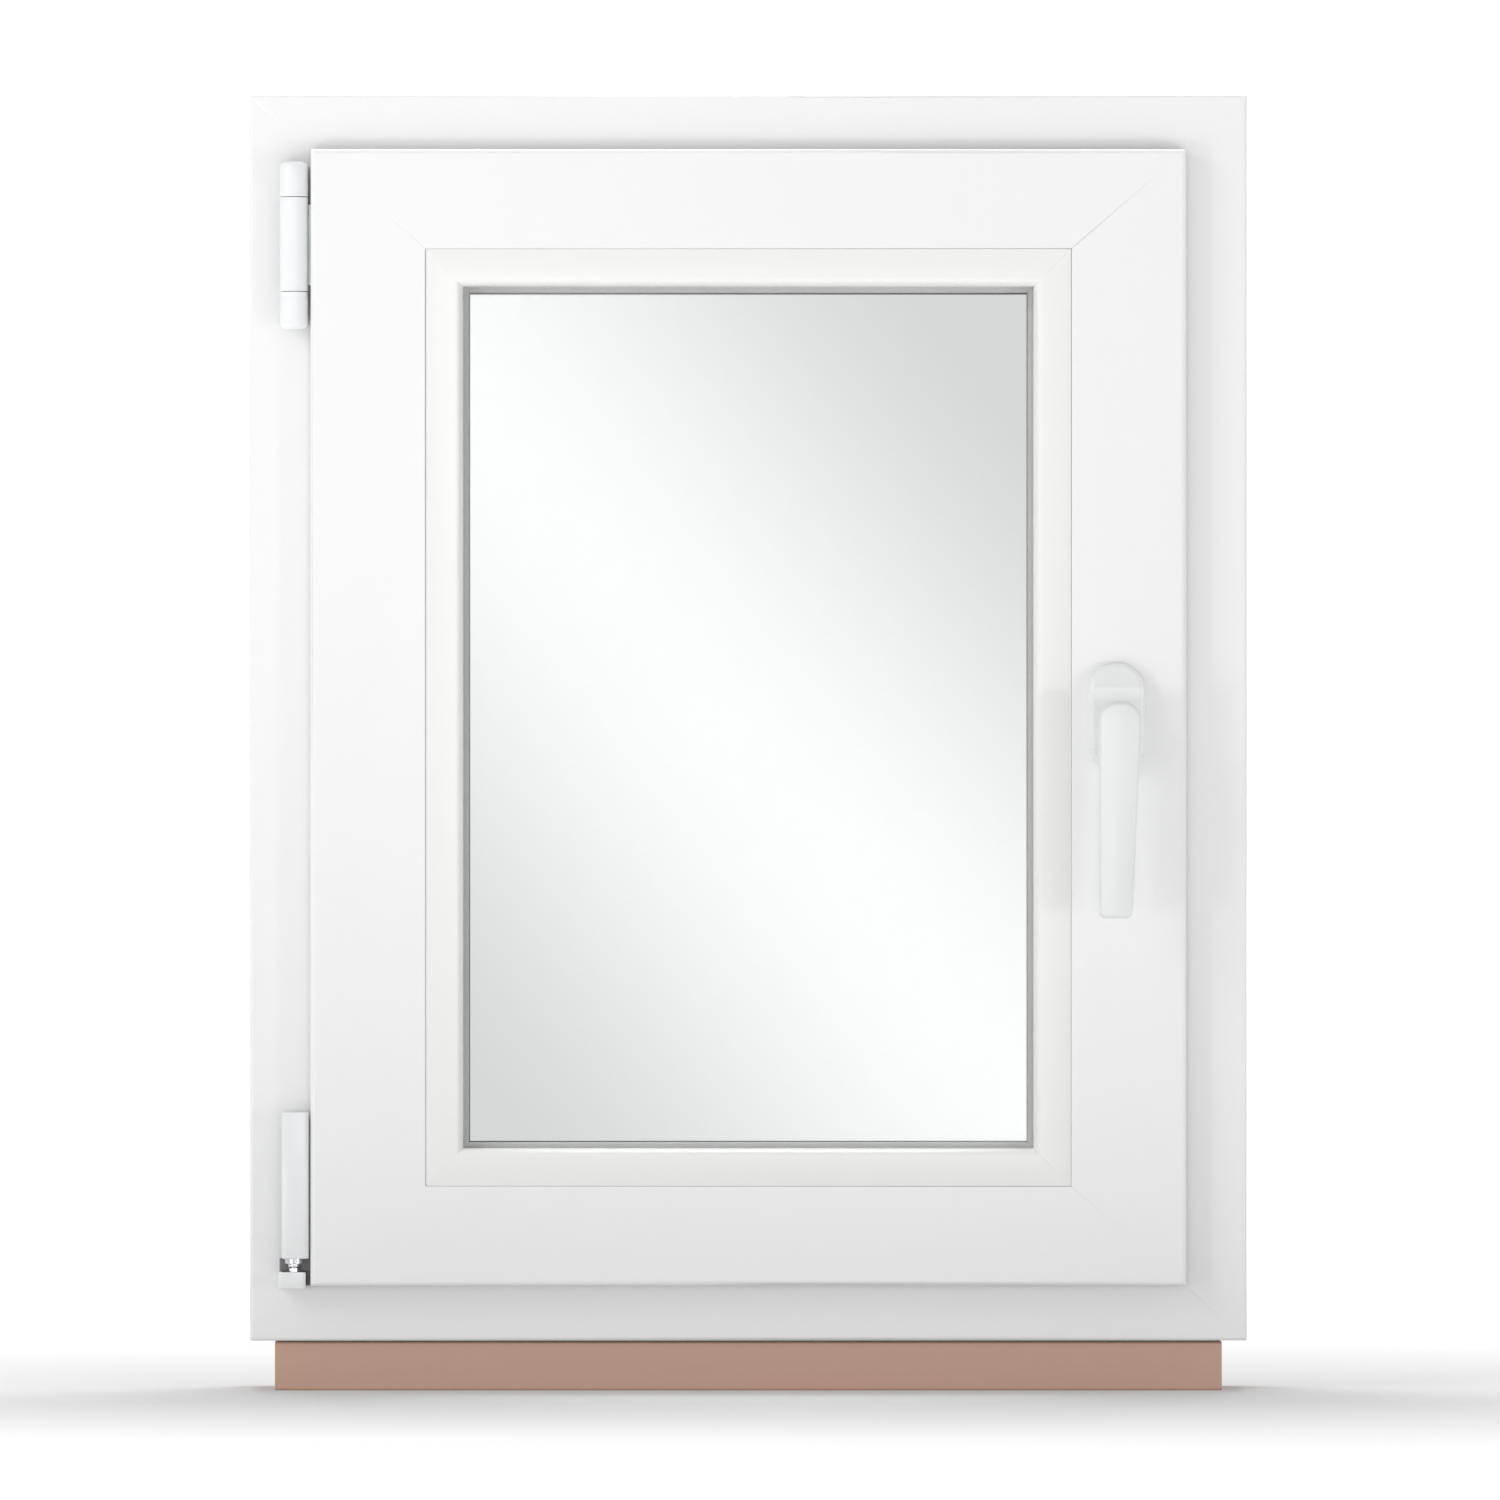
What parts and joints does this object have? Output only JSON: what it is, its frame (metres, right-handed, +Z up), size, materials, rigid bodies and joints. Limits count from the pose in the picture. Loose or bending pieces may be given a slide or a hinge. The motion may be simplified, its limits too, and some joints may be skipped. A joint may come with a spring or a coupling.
{
  "type": "tilt-and-turn casement window",
  "caption": "White uPVC tilt-and-turn casement window with double glazing, lever handle, hinge covers and a tan sill profile below.",
  "frame": {"origin": "middle of the sill profile's underside, at half the frame's depth", "axes": "+X across the window from the hinge side to the handle side, +Y out of the building, +Z up"},
  "size_m": [0.6, 0.1365, 0.78],
  "materials": {
    "upvc_white": "smooth satin-gloss extruded white",
    "cover_white": "glossy moulded white",
    "handle_white": "satin white powder coat",
    "zinc_steel": "bright zinc plate",
    "galvanised": "galvanised",
    "pivot_steel": "bright polished",
    "gasket_grey": "matt grey",
    "seal_black": "matt black",
    "sill_tan": "matt tan brown",
    "tape_grey": "matt grey foam",
    "glass": "clear float",
    "spacer": "mill finish",
    "block_plastic": "moulded",
    "zinc_cast": "cast zinc"
  },
  "bodies": {
    "frame": {"frame_head": "upvc_white", "frame_sill": "upvc_white", "frame_jamb_hinge": "upvc_white", "frame_jamb_lock": "upvc_white", "frame_reinforcement": "galvanised", "frame_gasket": "seal_black", "drain_caps": "cover_white", "bearing_cover_upper": "cover_white", "bearing_cover_lower": "cover_white", "corner_bearing_cover": "cover_white", "sill_profile": "sill_tan", "sill_end_caps": "sill_tan", "sill_tape": "tape_grey", "keep_lock_side": "zinc_steel", "keep_top": "zinc_steel", "keep_bottom": "zinc_steel", "frame_screws": "zinc_steel", "scissor_bearing": "zinc_steel", "scissor_pin": "zinc_steel", "corner_bearing": "zinc_cast"},
    "pivot": {"corner_pivot": "pivot_steel"},
    "sash": {"sash_rail_top": "upvc_white", "sash_rail_bottom": "upvc_white", "sash_stile_hinge": "upvc_white", "sash_stile_lock": "upvc_white", "bead_top": "upvc_white", "bead_bottom": "upvc_white", "bead_hinge_side": "upvc_white", "bead_lock_side": "upvc_white", "sash_reinforcement": "galvanised", "sash_gasket": "gasket_grey", "glazing_gasket_inner": "gasket_grey", "glazing_gasket_outer": "gasket_grey", "glass_inner": "glass", "glass_outer": "glass", "glass_spacer": "spacer", "glass_edge_seal": "seal_black", "glazing_blocks": "block_plastic", "faceplate_lock_side": "zinc_steel", "faceplate_top": "zinc_steel", "faceplate_bottom": "zinc_steel", "corner_drives": "zinc_steel", "drive_bands": "zinc_steel", "stay_guide": "zinc_steel", "corner_hinge_band": "zinc_steel", "hinge_band_screws": "zinc_steel", "handle_screws": "zinc_steel", "gearbox_case": "zinc_cast", "handle_base": "zinc_cast", "corner_hinge_cover": "cover_white", "rosette_cover": "handle_white"},
    "stay_arm": {"stay_arm": "zinc_steel", "stay_pin": "zinc_steel", "stay_arm_cover": "cover_white"},
    "handle": {"handle_lever": "handle_white", "handle_spindle": "zinc_steel", "gearbox_pinion": "zinc_cast"},
    "lock_rod": {"lock_rod": "zinc_steel"},
    "top_rod": {"top_rod": "zinc_steel"},
    "bottom_rod": {"bottom_rod": "zinc_steel"}
  },
  "joints": [
    {"name": "sash_turn", "type": "hinge", "parent": "frame", "child": "pivot", "pos_m": [-0.273, -0.045, 0.076], "axis": [0, 0, -1], "range_deg": [0, 90]},
    {"name": "sash_tilt", "type": "hinge", "parent": "pivot", "child": "sash", "pos_m": [-0.273, -0.045, 0.076], "axis": [1, 0, 0], "range_deg": [0, 9]},
    {"name": "stay_swing", "type": "hinge", "parent": "pivot", "child": "stay_arm", "pos_m": [-0.273, -0.045, 0.68935], "axis": [0, 0, -1], "range_deg": [0, 27]},
    {"name": "handle_turn", "type": "hinge", "parent": "sash", "child": "handle", "pos_m": [0.221, -0.0585, 0.405], "axis": [0, 1, 0], "range_deg": [0, 180]},
    {"name": "lock_rod_slide", "type": "slide", "parent": "sash", "child": "lock_rod", "axis": [0, 0, -1], "range_m": [0, 0.0361]},
    {"name": "top_rod_slide", "type": "slide", "parent": "sash", "child": "top_rod", "axis": [1, 0, 0], "range_m": [0, 0.0361]},
    {"name": "bottom_rod_slide", "type": "slide", "parent": "sash", "child": "bottom_rod", "axis": [-1, 0, 0], "range_m": [0, 0.0361]}
  ],
  "couplings": [
    {"joint": "stay_swing", "follows": "sash_tilt", "ratio": 2.9747},
    {"joint": "lock_rod_slide", "follows": "handle_turn", "m_per_rad": 0.011459},
    {"joint": "top_rod_slide", "follows": "handle_turn", "m_per_rad": 0.011459},
    {"joint": "bottom_rod_slide", "follows": "handle_turn", "m_per_rad": 0.011459}
  ]
}
